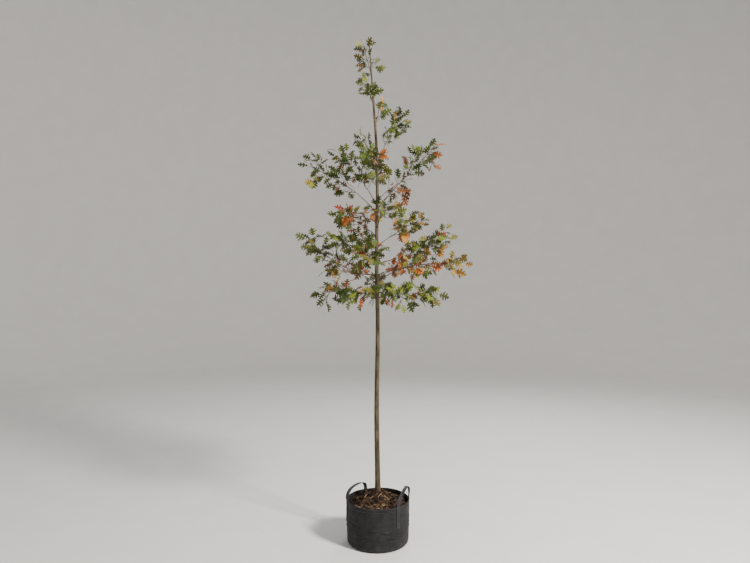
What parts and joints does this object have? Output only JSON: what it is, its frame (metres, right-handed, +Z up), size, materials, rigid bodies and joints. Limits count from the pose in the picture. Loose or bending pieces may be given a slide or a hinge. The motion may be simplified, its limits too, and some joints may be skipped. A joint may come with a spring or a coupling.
{
  "type": "potted oak tree",
  "caption": "Young clear-stemmed oak with early autumn leaves, in a soft round black grow bag with carrying straps, filled with compost under bark chips.",
  "frame": {"origin": "centre of the grow bag's flat underside, on the ground", "axes": "+Z up along the stem, -Y towards the viewer's side, +X to the right seen from there"},
  "size_m": [1.165, 0.8491, 3.2806],
  "materials": {
    "bag_fabric": "matte",
    "strap_fabric": "matte",
    "compost": "matte",
    "bark": "matte",
    "leaf_green": "satin",
    "leaf_bronze": "satin",
    "leaf_amber": "satin"
  },
  "bodies": {
    "root": {"bough_back_left": "bark", "bough_back_mid": "bark", "bough_back_right": "bark", "bough_back_upper": "bark", "bough_front_centre": "bark", "bough_front_mid": "bark", "bough_front_upper": "bark", "bough_left_dense": "bark", "bough_left_inner": "bark", "bough_left_long": "bark", "bough_left_rising": "bark", "bough_left_small": "bark", "bough_left_top": "bark", "bough_left_upper": "bark", "bough_low_back": "bark", "bough_low_front_left": "bark", "bough_low_front_right": "bark", "bough_low_left": "bark", "bough_low_right": "bark", "bough_right_high": "bark", "bough_right_inner": "bark", "bough_right_long": "bark", "bough_right_mid": "bark", "bough_right_red": "bark", "bough_right_top": "bark", "bough_right_upper": "bark", "compost": "compost", "grow_bag": "bag_fabric", "leaves_back_left": "leaf_bronze", "leaves_back_mid": "leaf_green", "leaves_back_right": "leaf_amber", "leaves_back_upper": "leaf_green", "leaves_front_centre": "leaf_green", "leaves_front_mid": "leaf_green", "leaves_front_upper": "leaf_green", "leaves_leader_high": "leaf_green", "leaves_leader_low": "leaf_green", "leaves_leader_middle": "leaf_green", "leaves_left_dense": "leaf_green", "leaves_left_inner": "leaf_bronze", "leaves_left_long": "leaf_green", "leaves_left_rising": "leaf_green", "leaves_left_small": "leaf_bronze", "leaves_left_top": "leaf_green", "leaves_left_upper": "leaf_green", "leaves_low_back": "leaf_green", "leaves_low_front_left": "leaf_green", "leaves_low_front_right": "leaf_green", "leaves_low_left": "leaf_green", "leaves_low_right": "leaf_green", "leaves_right_high": "leaf_amber", "leaves_right_inner": "leaf_bronze", "leaves_right_long": "leaf_amber", "leaves_right_mid": "leaf_green", "leaves_right_red": "leaf_bronze", "leaves_right_top": "leaf_green", "leaves_right_upper": "leaf_green", "stem": "bark", "strap_left": "strap_fabric", "strap_right": "strap_fabric"}
  },
  "joints": []
}
